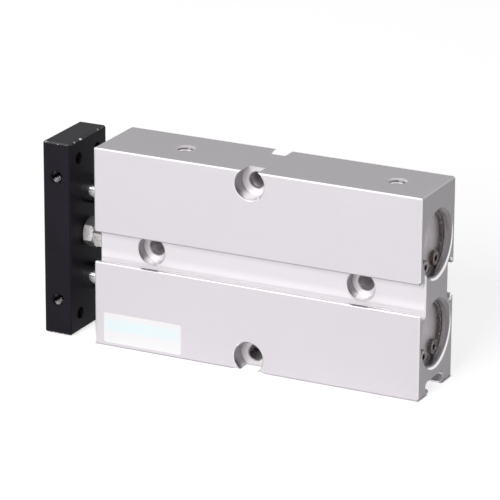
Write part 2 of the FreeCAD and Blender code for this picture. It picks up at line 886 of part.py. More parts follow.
def make_rod_screws():
    """The two socket head screws, as one group of two solids."""
    body = new_body("upper_rod_screw")
    head = screw_seat - s.screw_head_height
    profile = new_sketch(body, "profile", "XY_Plane")
    add_outline(profile, [
        (head, 0),
        (head, s.screw_head_radius - s.small_chamfer),
        (head + s.small_chamfer, s.screw_head_radius),
        (screw_seat, s.screw_head_radius),
        (screw_seat, s.screw_radius),
        (screw_seat + s.screw_length - s.small_chamfer, s.screw_radius),
        (screw_seat + s.screw_length, s.screw_radius - s.small_chamfer),
        (screw_seat + s.screw_length, 0),
    ])
    turned(body, profile)
    key = new_sketch(body, "key", "YZ_Plane", (0, 0, head))
    add_hexagon(key, s.screw_key_width, ZERO)
    pocket(body, key, s.screw_key_depth, True)
    on_bore(body, "upper")
    lower = doc.addObject("Part::Mirroring", "lower_rod_screw")
    lower.Source = body
    lower.Normal = VEC(0, 0, 1)
    group = doc.addObject("Part::Compound", "rod_screws")
    group.Label = "rod_screws"
    group.Links = [body, lower]
    return group


def make_front_plate():
    """The plate that joins the rods: sockets and screw bores for the rods, the stop
    bolt's thread in the middle and threaded holes for the load."""
    body = new_body("front_plate")
    block(body, plate_front, s.plate_thickness, s.plate_width, s.plate_height)
    break_edges(body, s.plate_chamfer, lambda edge: True)
    rod_hole = new_sketch(body, "rod_hole", "XZ_Plane", (0, bore_height, 0))
    clear = s.screw_radius + s.thread_fit
    head_bore = s.screw_head_radius + s.screw_bore_gap
    add_outline(rod_hole, [
        (plate_front, 0),
        (plate_rear, 0),
        (plate_rear, s.rod_radius + s.static_fit),
        (rod_front, s.rod_radius + s.static_fit),
        (rod_front, clear),
        (screw_seat, clear),
        (screw_seat, head_bore),
        (plate_front, head_bore),
    ])
    upper = turned(body, rod_hole, "PartDesign::Groove")
    mirrored(body, [upper], "XY_Plane", "lower_rod_hole")
    threads = new_sketch(body, "threads", "YZ_Plane", (0, 0, plate_front))
    add_circle(threads, 0, 0, s.bolt_radius + s.thread_fit)
    column = s.plate_width / 2 - s.plate_side_margin
    for across in (-column, column):
        for up in (-plate_row, plate_row):
            add_circle(threads, across, up, s.plate_thread_radius)
    pocket(body, threads, s.plate_thickness, True)
    sides = cut_plate_sides(body)
    mirrored(body, sides, "XZ_Plane", "far_side_threads")
    return body


def cut_plate_sides(body):
    """Two threaded holes in the narrow near face, each with a broken edge."""
    middle = plate_front + s.plate_thickness / 2
    face = -(s.plate_width / 2)
    row = plate_row - s.side_thread_step
    holes = []
    for name, height in (("upper_side", row), ("lower_side", -row)):
        sketch = new_sketch(body, name, "XY_Plane", (middle, 0, height))
        add_outline(sketch, [
            (0, face),
            (0, face + s.side_thread_depth + s.plate_thread_radius / 2),
            (s.plate_thread_radius, face + s.side_thread_depth),
            (s.plate_thread_radius, face + s.thread_chamfer),
            (s.plate_thread_radius + s.thread_chamfer, face),
        ])
        holes.append(turned(body, sketch, "PartDesign::Groove", "V_Axis"))
    return holes


def make_all():
    nodes = [make_cylinder_body(), make_front_plate(), make_stop_bolt(), make_stop_nut(),
             make_stop_pad(), make_rod_screws()]
    per_bore = (
        make_rod_guide, make_rod_bush, make_rod_seal, make_guide_o_ring, make_front_circlip,
        make_rear_cap, make_cap_o_ring, make_rear_circlip, make_rear_bumper,
        make_piston_rod, make_piston, make_magnet_ring, make_wear_ring, make_piston_seal,
        make_front_bumper, make_piston_nut,
    )
    for side in SIDES:
        for make_piece in per_bore:
            nodes.append(make_piece(side))
    return nodes


def check_features():
    """Every object must have built, and every cut must have taken material away."""
    for item in doc.Objects:
        if "Invalid" in item.State or "Error" in item.State:
            raise RuntimeError("%s failed: %s" % (item.Name, item.State))
        if item.TypeId in ("PartDesign::Pocket", "PartDesign::Groove"):
            before = item.BaseFeature.Shape.Volume
            if item.Shape.Volume > before - 1e-3:
                raise RuntimeError("%s cuts nothing" % item.Name)
        if item.TypeId == "Sketcher::SketchObject" and item.solve() != 0:
            raise RuntimeError("%s is not solved" % item.Name)


def write_parts(nodes):
    os.makedirs("parts", exist_ok=True)
    for node in nodes:
        shape = node.Shape
        if shape.isNull() or not shape.isValid():
            raise RuntimeError("%s has a bad shape" % node.Label)
        shape.exportStep("parts/%s.step" % node.Label)
        print("%-20s %d solid(s) %10.2f mm3" % (node.Label, len(shape.Solids), shape.Volume))


all_nodes = make_all()
doc.recompute()
check_features()
write_parts(all_nodes)
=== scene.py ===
import json
import math

import bmesh
import bpy
from mathutils import Matrix, Vector


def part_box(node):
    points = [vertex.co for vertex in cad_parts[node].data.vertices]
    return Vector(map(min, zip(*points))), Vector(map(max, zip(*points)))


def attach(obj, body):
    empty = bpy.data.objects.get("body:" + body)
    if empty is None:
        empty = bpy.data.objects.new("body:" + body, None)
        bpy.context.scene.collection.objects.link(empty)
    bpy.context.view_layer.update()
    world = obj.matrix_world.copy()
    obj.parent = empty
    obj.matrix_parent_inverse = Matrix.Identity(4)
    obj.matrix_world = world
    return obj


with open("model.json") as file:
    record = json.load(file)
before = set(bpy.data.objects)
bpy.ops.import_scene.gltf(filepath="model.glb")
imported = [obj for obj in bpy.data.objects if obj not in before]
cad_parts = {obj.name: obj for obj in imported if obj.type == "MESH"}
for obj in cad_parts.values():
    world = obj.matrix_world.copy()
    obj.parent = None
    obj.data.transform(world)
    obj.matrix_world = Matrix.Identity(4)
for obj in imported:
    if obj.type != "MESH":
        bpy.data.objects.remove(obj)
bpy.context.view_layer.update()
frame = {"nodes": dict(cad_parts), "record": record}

# Finishes and small details for a twin rod pneumatic cylinder. Everything is in
# metres: X runs along the body to its rear, Y through its thickness, Z up.

bl_info = {
    "name": "Twin rod cylinder",
    "version": (1, 0, 0),
    "blender": (4, 5, 0),
    "location": "3D View > Sidebar > Cylinder",
    "description": "Finishes, threads and label of a twin rod pneumatic cylinder",
    "category": "Object",
}

MM = 0.001
BODY_LOW, BODY_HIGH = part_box("cylinder_body")
PLATE_LOW, PLATE_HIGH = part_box("front_plate")
BORE_HEIGHT = sum((corner.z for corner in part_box("upper_piston_rod")), 0.0) / 2
MOUNTS = {mount["name"]: mount for mount in frame["record"]["mounts"]}
HOLE_ALONG = MOUNTS["body_holes"]["dims"]["spacing_x_mm"] / 2 * MM
HOLE_HEIGHT = MOUNTS["upper_body_hole"]["pos_m"][2]
THREAD_RADIUS = MOUNTS["body_holes"]["dims"]["hole_r_mm"] * MM
PORTS = [MOUNTS[name] for name in ("front_port", "rear_port")]
PORT_STATIONS = [port["pos_m"][0] for port in PORTS]
PORT_RADIUS = PORTS[0]["dims"]["r_mm"] * MM

# Places on the body that its finish follows. HAIR takes a finish just past a wall.
HAIR = 0.02 * MM
SIDE_BORE_RADIUS = 4.2 * MM
CHANNEL_BORE_RADIUS = 3.9 * MM
PORT_FLOOR = 21.0 * MM
RING_GROOVE_RADIUS = 9.0 * MM
MOUTH_RADIUS = 9.5 * MM
CHANNEL_HALF_HEIGHT = 5.8 * MM
LIP_HALF_HEIGHT = 4.7 * MM
LIP_DEPTH = 9.2 * MM
SLOT_LIP = 3.5 * MM
SLOT_WALL = 5.8 * MM
SLOT_ROOF = -23.6 * MM

# The label's lower left and upper right corners on the front face
LABEL_LOW = Vector((-42.3 * MM, BODY_LOW.y, -26.0 * MM))
LABEL_HIGH = Vector((-19.5 * MM, BODY_LOW.y, -17.8 * MM))

# The photograph's view: the camera's place, its axes and its lens in millimetres
CAMERA_PLACE = Vector((0.382744, -0.782082, 0.302100))
CAMERA_RIGHT = Vector((0.895214, 0.445605, 0.005258))
CAMERA_UP = Vector((-0.149302, 0.288787, 0.945680))
CAMERA_BACK = Vector((0.419881, -0.847371, 0.325056))
CAMERA_LENS = 256.765
SENSOR_WIDTH = 36.0

# Each lamp's place and its disc's diameter
KEY_LAMP = ((-0.10, -1.15, 0.42), 0.9)
TOP_LAMP = ((-0.55, -0.42, 1.05), 0.7)

# A thread ridge: how far its foot sinks into the wall, half widths as shares of the
# pitch, steps in a turn and steps over which each end runs out
RIDGE_SINK = 0.015 * MM
RIDGE_FOOT = 0.44
RIDGE_CREST = 0.08
STEPS_PER_TURN = 36
RUN_OUT_STEPS = 5.0


class Wire:
    """A socket that plain arithmetic joins to Math nodes."""

    def __init__(self, graph, socket):
        self.graph = graph
        self.socket = socket

    def maths(self, operation, *others, swap=False):
        values = [self, *others]
        if swap:
            values.reverse()
        return self.graph.node("ShaderNodeMath", {"operation": operation}, dict(enumerate(values)))

    def __add__(self, other):
        return self.maths("ADD", other)

    def __radd__(self, other):
        return self.maths("ADD", other)

    def __sub__(self, other):
        return self.maths("SUBTRACT", other)

    def __rsub__(self, other):
        return self.maths("SUBTRACT", other, swap=True)

    def __mul__(self, other):
        return self.maths("MULTIPLY", other)

    def __lt__(self, other):
        return self.maths("LESS_THAN", other)

    def __gt__(self, other):
        return self.maths("GREATER_THAN", other)

    def __abs__(self):
        return self.maths("ABSOLUTE")

    def pick(self, name):
        """Another output of the same node."""
        return Wire(self.graph, self.socket.node.outputs[name])

    def smooth(self, low, high):
        """0 below low, 1 above high and a smooth rise between them."""
        return self.graph.node("ShaderNodeMapRange", {"interpolation_type": "SMOOTHSTEP"}, {
            "Value": self, "From Min": low, "From Max": high})


class Graph:
    """The nodes of one material or world."""

    def __init__(self, tree):
        self.tree = tree
        tree.nodes.clear()

    def node(self, kind, settings=None, inputs=None, output=0):
        """One node: its settings go first, then its sockets."""
        made = self.tree.nodes.new(kind)
        for name, value in (settings or {}).items():
            setattr(made, name, value)
        for name, value in (inputs or {}).items():
            if isinstance(value, Wire):
                self.tree.links.new(value.socket, made.inputs[name])
            else:
                made.inputs[name].default_value = value
        return Wire(self, made.outputs[output]) if made.outputs else made

    def place(self):
        """The point on the surface, in the piece's own frame."""
        return self.node("ShaderNodeTexCoord", output="Object")

    def split(self, vector):
        """The three parts of a vector."""
        parts = self.node("ShaderNodeSeparateXYZ", None, {"Vector": vector})
        return [parts.pick(axis) for axis in "XYZ"]

    def facing(self):
        """How far the surface faces along X, Y and Z, either way."""
        normal = self.node("ShaderNodeTexCoord", output="Normal")
        return [abs(part) for part in self.split(normal)]

    def highest(self, first, *others):
        for other in others:
            first = first.maths("MAXIMUM", other)
        return first

    def lowest(self, first, second):
        return first.maths("MINIMUM", second)

    def length(self, first, second):
        """The distance from an axis, from the two offsets across it."""
        offset = self.node("ShaderNodeCombineXYZ", None, {"X": first, "Y": second})
        return self.node("ShaderNodeVectorMath", {"operation": "LENGTH"}, {0: offset}, "Value")

    def wave(self, value):
        """A sine between 0 and 1."""
        return value.maths("SINE") * 0.5 + 0.5

    def stretch(self, vector, factors):
        return self.node("ShaderNodeVectorMath", {"operation": "MULTIPLY"}, {0: vector, 1: factors})

    def blend(self, factor, first, second):
        """A colour between two colours."""
        return self.node("ShaderNodeMix", {"data_type": "RGBA"}, {0: factor, 6: first, 7: second}, 2)

    def noise(self, vector, scale, detail=2.0, roughness=0.5):
        return self.node("ShaderNodeTexNoise", None, {
            "Vector": vector, "Scale": scale, "Detail": detail, "Roughness": roughness})

    def bump(self, height, distance, strength=1.0):
        return self.node("ShaderNodeBump", None, {
            "Height": height, "Distance": distance, "Strength": strength})

    def finish(self, inputs):
        """The principled shader and the output."""
        shader = self.node("ShaderNodeBsdfPrincipled", None, inputs)
        self.node("ShaderNodeOutputMaterial", None, {"Surface": shader})


# Finishes


def paint(name, build, *values):
    """A material whose nodes are made by one function from the given values."""
    material = bpy.data.materials.new(name)
    material.use_nodes = True
    build(Graph(material.node_tree), *values)
    return material


def dress(nodes, material):
    """Give CAD nodes their finish on their own slots."""
    for node in nodes:
        for slot in frame["nodes"][node].material_slots:
            slot.material = material


def hole_masks(graph, x, y, z):
    """1 in the drilled holes and ports, 1 in their tapped parts, and the distance from
    the nearest hole's axis."""
    side = graph.length(x, abs(z) - HOLE_HEIGHT)
    channel = graph.length(abs(x) - HOLE_ALONG, z)
    port_middle = sum(PORT_STATIONS) / 2
    port = graph.length(abs(x - port_middle) - (PORT_STATIONS[1] - port_middle), y)
    in_port = port < PORT_RADIUS + HAIR
    nearest = graph.lowest(side, channel)
    drilled = graph.highest(
        (side < SIDE_BORE_RADIUS + HAIR) * (abs(z) < BODY_HIGH.z - 0.1 * MM),
        channel < CHANNEL_BORE_RADIUS + HAIR, in_port * (z > PORT_FLOOR))
    tapped = graph.highest(nearest < THREAD_RADIUS + 0.1 * MM, in_port)
    return drilled, tapped, nearest


def mouth_masks(z, bore, slope_x):
    """1 on the chamfers round the bores, and a painted highlight low on each: a bright crescent that
    narrows and fades upwards.
    """
    rim = slope_x * (bore < MOUTH_RADIUS)
    above_bore = z - (z > 0.0) * (2 * BORE_HEIGHT) + BORE_HEIGHT
    inner_edge = above_bore * 0.035 + 9.10 * MM
    # Painted highlight: wider low on the chamfer, half as bright above the bore's middle
    rim_highlight = rim * ((bore - inner_edge) * (1 / MM)).smooth(0.0, 0.15)
    return rim, rim_highlight * (1.0 - above_bore.smooth(0.0, 8.0 * MM) * 0.5)


def lip_masks(graph, x, y, z, ny, nz):
    """1 on the channels' lower lips, where a highlight is painted, and 1 where shade is
    painted: on the upper lips and on the short stretch of the lower lip by each hole."""
    lip = (abs(y) > LIP_DEPTH) * (abs(z) < LIP_HALF_HEIGHT)
    # The lower lips take a painted highlight, the upper lips painted shade
    lower = lip * (z < 0.0) * (1.0 - ny.smooth(0.84, 0.96))
    upper = lip * (z > 0.0) * (1.0 - ny.smooth(0.70, 0.95))
    shift = 1.2 * MM
    by_hole = 1.0 - abs(abs(x - shift) - HOLE_ALONG).smooth(1.8 * MM, 3.0 * MM)
    shaded = lower * by_hole * nz.smooth(0.45, 0.7)
    return lower - shaded, graph.highest(upper, shaded)


def slot_mask(y, z, nx, nz):
    """The round shoulders inside the sensor slot's lips, where a highlight is painted."""
    inside = (abs(y) > SLOT_LIP) * (abs(y) < SLOT_WALL) * (z < SLOT_ROOF) * (z > BODY_LOW.z + 0.1 * MM)
    return inside * (1.0 - nx.smooth(0.3, 0.5)) * (1.0 - nz.smooth(0.90, 0.98)) * 0.8


def painted_channel_sheen(graph, y, z, nx, elsewhere):
    """A painted highlight: a soft light band and a thin light line along the lower half of each
    channel.
    """
    below = z * -1.0
    band = below.smooth(0.9 * MM, 3.4 * MM) * (1.0 - below.smooth(3.5 * MM, 3.9 * MM)) * 0.7
    line = below.smooth(4.1 * MM, 4.4 * MM)
    sheen = graph.highest(band, line) * (abs(z) < CHANNEL_HALF_HEIGHT) * (abs(y) < LIP_DEPTH)
    return sheen * (1.0 - nx.smooth(0.3, 0.5)) * (1.0 - elsewhere)


def anodised_body(graph, colours):
    """Satin anodised extrusion: fine drawn lines along X, milled ends and turned bores and holes,
    with painted highlights on its edges, lips, hole seats and lower channels and painted shade in its
    holes, on its bore chamfers and along its upper lips."""
    # edge is the colour of the painted highlights and of the lighter channel floor; deep is that of the
    # painted shade
    dark, light, edge, machined_dark, machined_light, deep = colours
    point = graph.place()
    x, y, z = graph.split(point)
    nx, ny, nz = graph.facing()
    drawn = graph.noise(graph.stretch(point, (35.0, 2600.0, 2600.0)), 1.0, 3.0, 0.6)
    grain = graph.noise(point, 7000.0, 2.0, 0.6)
    cloud = graph.noise(point, 28.0, 2.0, 0.5)

    # Where each kind of surface is
    edge_reach = 0.6 * MM
    slope_x, slope_y, slope_z = [
        part.smooth(0.3, 0.5) * (1.0 - part.smooth(0.85, 0.95)) for part in (nx, ny, nz)]
    in_channel = abs(z) < CHANNEL_HALF_HEIGHT
    drilled, tapped, hole = hole_masks(graph, x, y, z)
    bore = graph.length(y, abs(z) - BORE_HEIGHT)
    rim, rim_highlight = mouth_masks(z, bore, slope_x)
    # The rest of each bore chamfer takes painted shade
    shaded_rim = rim - rim_highlight
    bored = graph.highest(
        (bore < RING_GROOVE_RADIUS + HAIR) * (1.0 - nx.smooth(0.5, 0.6)), shaded_rim)
    lip_highlight, lip_shade = lip_masks(graph, x, y, z, ny, nz)
    # Painted highlights on the chamfers, channel ends, round lower lips and slot shoulders: the bottom
    # edges are left out and the top end edges get less
    corners = graph.highest(slope_x * 0.6, slope_y * slope_z)
    corners = corners * (abs(y) > BODY_HIGH.y - edge_reach) * (z > BODY_LOW.z + edge_reach)
    top_end = slope_x * (z > BODY_HIGH.z - edge_reach) * 0.3
    edge_highlights = (1.0 - drilled) * graph.highest(
        corners * (1.0 - in_channel), (slope_x - rim) * in_channel * 0.7, top_end, lip_highlight,
        rim_highlight, slot_mask(y, z, nx, nz))
    sheen = painted_channel_sheen(graph, y, z, nx, drilled)
    milled = nx.smooth(0.97, 0.99)
    extruded = (1.0 - milled) * (1.0 - drilled) * (1.0 - bored) * (1.0 - edge_highlights)
    seat = drilled * ny.smooth(0.95, 0.99)
    wall = drilled * (1.0 - tapped) * nx.smooth(0.35, 0.9)
    lit_wall = drilled * (1.0 - tapped) * nz.smooth(0.6, 0.95)
    channel_floor = in_channel * (abs(y) < 8.0 * MM) * ny.smooth(0.9, 0.99)

    # Tool marks: the end mill's middle lay beside the body
    mill_y, mill_z = -35.0 * MM, -20.0 * MM
    arcs = graph.wave(graph.length(y - mill_y, z - mill_z) * 9000.0)
    turns = graph.wave((bore * nx + x) * 14000.0)
    rings = graph.wave((hole + y) * 16000.0)

    tone = 0.46 + drawn * 0.07 * extruded + grain * 0.05 + cloud * 0.06 + arcs * milled * 0.05
    colour = graph.blend(tone.smooth(0.42, 0.68), dark, light)
    colour = graph.blend(channel_floor * 0.30, colour, edge)
    # Painted highlight along the lower half of each channel
    colour = graph.blend(sheen, colour, edge)
    machined = graph.blend(turns * bored * 0.6 + rings * drilled * 0.4, machined_dark, machined_light)
    # Painted shade in the tapped parts, on the bore chamfers and on the hole walls that face along X
    machined = graph.blend(graph.highest(tapped * 0.3, shaded_rim * 0.8, wall * 0.65), machined, deep)
    # Painted highlights on the hole seats and on the hole walls that face up and down
    machined = graph.blend(graph.highest(seat, lit_wall) * 0.55, machined, edge)
    colour = graph.blend(milled * 0.15, colour, machined_dark)
    colour = graph.blend(graph.highest(drilled, bored), colour, machined)
    # Painted highlights on the edges, lips and slot shoulders
    colour = graph.blend(edge_highlights, colour, edge)
    # Painted shade along the upper lips and on the lower lips by the holes
    colour = graph.blend(lip_shade, colour, deep)
    roughness = (0.42 + drawn * 0.10 * extruded + grain * 0.06 - edge_highlights * 0.26 - drilled * 0.20
                 - bored * 0.18)
    metallic = (0.10 + edge_highlights * 0.75 + (drilled - seat * 0.7) * 0.48
                + (bored - shaded_rim * 0.8) * 0.75 + sheen * 0.3)
    height = (drawn * extruded * 0.6 + grain * 0.4 + arcs * milled * 0.35 + rings * drilled * 0.3
              + turns * bored * 0.6)
    graph.finish({
        "Base Color": colour, "Roughness": roughness, "Metallic": metallic,
        "Normal": graph.bump(height, 0.006 * MM, 0.35)})


def black_anodised(graph, colours):
    """Fine blasted and dyed black, with chips along its end edges and a painted highlight there, a thin
    bright line.
    """
    point = graph.place()
    grain = graph.noise(point, 5200.0, 3.0, 0.65)
    cloud = graph.noise(point, 45.0, 2.0, 0.5)
    chips = graph.noise(point, 900.0, 3.0, 0.6).smooth(0.58, 0.64)
    nx, ny, nz = graph.facing()
    height = graph.split(point)[2]
    edge = (1.0 - graph.highest(nx, ny, nz).smooth(0.85, 0.98)) * nz.smooth(0.5, 0.65)
    edge = edge * (abs(height) > PLATE_HIGH.z - 0.6 * MM)
    colour = graph.blend((grain * 0.6 + cloud * 0.5).smooth(0.4, 0.7), colours[0], colours[1])
    # A painted highlight as a thin line along the end edges, with chips on it
    colour = graph.blend(edge * (0.12 + chips * 0.88), colour, colours[2])
    graph.finish({
        "Base Color": colour, "Roughness": 0.36 + grain * 0.16 - edge * 0.10,
        "Metallic": edge * chips * 0.8, "Specular IOR Level": 0.05,
        "Normal": graph.bump(grain, 0.012 * MM, 0.5)})


def tapped_metal(graph, colours):
    """Bare cut thread: bright flanks with darker tool marks."""
    point = graph.place()
    marks = graph.noise(point, 3800.0, 3.0, 0.6)
    flank = graph.facing()[2].smooth(0.35, 0.75)
    colour = graph.blend(flank * (0.5 + marks), colours[0], colours[1])
    graph.finish({
        "Base Color": colour, "Roughness": 0.10 + marks * 0.12, "Metallic": 1.0,
        "Normal": graph.bump(marks, 0.006 * MM, 0.5)})


def turned_metal(graph, colours, pitch, metallic, roughness, spread=0.06):
    """Turned metal, with fine marks round the middle of its bore."""
    point = graph.place()
    x, y, z = graph.split(point)
    facing = graph.facing()[0].smooth(0.6, 0.9)
    across = graph.length(y, abs(z) - BORE_HEIGHT) * facing + x * (1.0 - facing)
    wobble = graph.noise(point, 900.0, 2.0, 0.5)
    marks = graph.wave(across * (math.tau / pitch) + wobble * 2.5)
    stain = graph.noise(point, 260.0, 3.0, 0.6)
    colour = graph.blend((marks * 0.35 + stain * 0.75).smooth(0.25, 0.85), colours[0], colours[1])
    graph.finish({
        "Base Color": colour, "Metallic": metallic,
        "Roughness": roughness + marks * spread + (stain - 0.5) * spread,
        "Normal": graph.bump(marks * 0.6 + wobble * 0.4, 0.004 * MM, 0.5)})


def plated_hexagon(graph, colours):
    """Bright plated steel with fine drawn lines, painted shade on the flats above and below, and
    lighter turned corners that are also a painted highlight.
    """
    point = graph.place()
    lines = graph.noise(graph.stretch(point, (9000.0, 700.0, 700.0)), 1.0, 2.0, 0.6)
    marks = graph.noise(point, 1500.0, 3.0, 0.65)
    nx, ny = graph.facing()[:2]
    # Turned corners, painted lighter and more metallic, partly as a painted highlight
    corner = nx.smooth(0.15, 0.3) * (1.0 - nx.smooth(0.9, 0.97))
    # Painted shade on the flats that face up and down
    turned = (1.0 - ny.smooth(0.80, 0.90)) * (1.0 - nx.smooth(0.6, 0.8))
    colour = graph.blend((lines * 0.4 + marks * 0.7).smooth(0.35, 0.75), colours[0], colours[1])
    colour = graph.blend(turned * 0.85, colour, colours[3])
    colour = graph.blend(corner, colour, colours[2])
    graph.finish({
        "Base Color": colour, "Roughness": 0.20 + lines * 0.10 + marks * 0.08,
        "Metallic": 0.45 + corner * 0.5,
        "Normal": graph.bump(lines * 0.5 + marks * 0.5, 0.006 * MM, 0.4)})


def black_oxide(graph, colours):
    """Oiled black oxide on a socket screw, with a slightly worn rim."""
    point = graph.place()
    marks = graph.noise(point, 2400.0, 3.0, 0.6)
    patch = graph.noise(point, 500.0, 2.0, 0.5)
    colour = graph.blend((marks * 0.5 + patch * 0.6).smooth(0.35, 0.75), colours[0], colours[1])
    graph.finish({
        "Base Color": colour, "Roughness": 0.26 + marks * 0.14, "Metallic": 0.8,
        "Normal": graph.bump(marks, 0.008 * MM, 0.5)})


def spring_steel(graph, colours):
    """Phosphated ring: dark grey crystals, thin brown patches, bare flecks and an oily gloss."""
    point = graph.place()
    crystal = graph.noise(point, 5200.0, 3.0, 0.7)
    patch = graph.noise(point, 700.0, 3.0, 0.55)
    fleck = graph.noise(point, 2600.0, 2.0, 0.6).smooth(0.60, 0.66)
    colour = graph.blend(crystal.smooth(0.35, 0.65), colours[0], colours[1])
    colour = graph.blend(patch.smooth(0.50, 0.64) * 0.7, colour, colours[2])
    colour = graph.blend(fleck, colour, colours[3])
    graph.finish({
        "Base Color": colour, "Roughness": 0.16 + crystal * 0.16, "Metallic": 0.85,
        "Normal": graph.bump(crystal, 0.02 * MM, 0.8)})


def sintered_bronze(graph, colours):
    """Porous bronze: dark pinholes between brighter grains."""
    point = graph.place()
    pores = graph.node("ShaderNodeTexVoronoi", {"feature": "F1"}, {
        "Vector": point, "Scale": 6000.0}, "Distance")
    grains = graph.noise(point, 2500.0, 3.0, 0.6)
    pits = 1.0 - pores.smooth(0.12, 0.32)
    colour = graph.blend(grains.smooth(0.3, 0.7), colours[0], colours[1])
    colour = graph.blend(pits * 0.7, colour, colours[2])
    graph.finish({
        "Base Color": colour, "Roughness": 0.38 + pits * 0.3, "Metallic": 0.9,
        "Normal": graph.bump(pores.smooth(0.1, 0.4), 0.015 * MM, 0.6)})


def moulded_rubber(graph, colours, gloss):
    """Moulded rubber or urethane: a soft sheen, a faint bloom and dust in the grain."""
    point = graph.place()
    grain = graph.noise(point, 4000.0, 3.0, 0.6)
    bloom = graph.noise(point, 600.0, 3.0, 0.5)
    colour = graph.blend((bloom * 0.8 + grain * 0.3).smooth(0.4, 0.8), colours[0], colours[1])
    graph.finish({
        "Base Color": colour, "Roughness": gloss + grain * 0.18,
        "Normal": graph.bump(grain, 0.012 * MM, 0.4)})


def filled_plastic(graph, colours):
    """Plastic with a fine filler that shows as pale and dark specks."""
    point = graph.place()
    fibre = graph.noise(graph.stretch(point, (900.0, 5000.0, 5000.0)), 1.0, 3.0, 0.6)
    specks = graph.noise(point, 5200.0, 1.0, 0.5).smooth(0.62, 0.70)
    colour = graph.blend(fibre.smooth(0.3, 0.7), colours[0], colours[1])
    colour = graph.blend(specks * 0.6, colour, colours[2])
    graph.finish({
        "Base Color": colour, "Roughness": 0.42 + fibre * 0.18,
        "Normal": graph.bump(fibre, 0.010 * MM, 0.5)})


def printed_label(graph, colours):
    """Glossy white label stock with one pale band and a clear border."""
    point = graph.place()
    x, _, z = graph.split(point)
    fibre = graph.noise(point, 3500.0, 3.0, 0.6)
    middle = (LABEL_LOW + LABEL_HIGH) / 2
    size = LABEL_HIGH - LABEL_LOW
    border = 0.55 * MM
    inside = (abs(x - middle.x) < size.x / 2 - border) * (abs(z - middle.z) < size.z / 2 - border)
    low = LABEL_LOW.z + size.z * 0.36
    high = LABEL_LOW.z + size.z * 0.88
    band = inside * z.smooth(low, low + 1.2 * MM) * (1.0 - z.smooth(high - 1.0 * MM, high))
    fade = 1.0 - x.smooth(middle.x - size.x * 0.1, middle.x + size.x * 0.45) * 0.25
    colour = graph.blend(fibre * 0.35, colours[0], colours[1])
    colour = graph.blend(band * fade * 0.9, colour, colours[2])
    graph.finish({
        "Base Color": colour, "Roughness": 0.30 + fibre * 0.12,
        "Normal": graph.bump(fibre, 0.004 * MM, 0.4)})


# Sizes and colours that a user may change


def colour_setting(name, description, red, green, blue):
    return bpy.props.FloatVectorProperty(
        name=name, description=description, default=(red, green, blue, 1.0), size=4, min=0.0, max=1.0,
        subtype="COLOR")


def length_setting(name, description, millimetres):
    return bpy.props.FloatProperty(
        name=name, description=description, default=millimetres * MM, min=0.0, precision=5,
        subtype="DISTANCE", unit="LENGTH")


class CylinderColours(bpy.types.PropertyGroup):
    body_dark: colour_setting("Body, dark", "Anodised extrusion, darker lines", 0.68, 0.645, 0.68)
    body_light: colour_setting("Body, light", "Anodised extrusion, lighter lines", 0.74, 0.705, 0.745)
    # Colour of the painted highlights on edges, lips, hole seats and the lower channels; it also
    # lightens the channel floor
    body_highlight: colour_setting("Body, edges", "Broken edges and round lips", 0.93, 0.91, 0.93)
    machined_dark: colour_setting("Machined, dark", "Holes and bores, tool marks", 0.46, 0.44, 0.455)
    machined_light: colour_setting("Machined, light", "Holes and bores", 0.72, 0.69, 0.715)
    # Colour of the painted shade in tapped holes, on hole walls, bore chamfers and upper lips; also the
    # dark of the port threads
    machined_deep: colour_setting("Machined, deep", "Tapped holes and the hidden lip", 0.24, 0.22, 0.24)
    thread_dark: colour_setting("Cut threads, dark", "Plate threads, tool marks", 0.04, 0.038, 0.042)
    thread_light: colour_setting("Cut threads, light", "Plate threads", 0.95, 0.94, 0.95)
    plate_dark: colour_setting("Plate, dark", "Black anodised plate", 0.011, 0.0095, 0.013)
    plate_light: colour_setting("Plate, light", "Black plate, thinner dye", 0.020, 0.0175, 0.024)
    # Chips on the plate's end edges, and the colour of the painted highlight along them
    plate_chips_and_highlight: colour_setting("Plate, edges", "Chips and thin dye on the edges", 0.80, 0.79, 0.81)
    steel_dark: colour_setting("Plated steel, dark", "Handling marks on nut and bolt", 0.62, 0.60, 0.60)
    steel_light: colour_setting("Plated steel, light", "Bright plating", 0.90, 0.88, 0.88)
    # Turned corners, partly a painted highlight
    steel_corner_highlight: colour_setting("Plated steel, corners", "Turned corners", 0.95, 0.94, 0.94)
    # Colour of the painted shade on the flats above and below of the nuts and bolt
    steel_shaded_flats: colour_setting("Plated steel, other flats", "Flats above and below", 0.16, 0.16, 0.17)
    chrome_dark: colour_setting("Rods, dark", "Ground chrome, darker lines", 0.42, 0.41, 0.43)
    chrome_light: colour_setting("Rods, light", "Ground chrome", 0.62, 0.61, 0.63)
    cap_dark: colour_setting("Rear caps, dark", "Turned caps, in the marks", 0.52, 0.49, 0.51)
    cap_light: colour_setting("Rear caps, light", "Turned caps", 0.70, 0.66, 0.69)
    ring_dark: colour_setting("Retaining rings, dark", "Phosphated spring steel", 0.06, 0.052, 0.052)
    ring_light: colour_setting("Retaining rings, light", "Paler crystals", 0.22, 0.20, 0.20)
    ring_brown: colour_setting("Retaining rings, patches", "Thin brown patches", 0.20, 0.11, 0.10)
    ring_fleck: colour_setting("Retaining rings, flecks", "Bare bright flecks", 0.85, 0.84, 0.84)
    label_white: colour_setting("Label, white", "Label stock", 0.93, 0.92, 0.93)
    label_shade: colour_setting("Label, shade", "Fibres of the label stock", 0.88, 0.87, 0.88)
    label_band: colour_setting("Label, band", "Pale band across the label", 0.83, 0.95, 0.97)


class CylinderDetails(bpy.types.PropertyGroup):
    label_thickness: length_setting("Label thickness", "How far the label stands proud", 0.06)
    label_corner: length_setting("Label corner", "Radius of the label's corners", 0.6)
    body_pitch: length_setting("Body thread pitch", "Pitch of the threads in the body and ports", 0.8)
    plate_pitch: length_setting("Plate thread pitch", "Pitch of the threads in the plate", 0.7)
    crest_height: length_setting("Thread crest", "How far a thread's crest stands from its wall", 0.24)


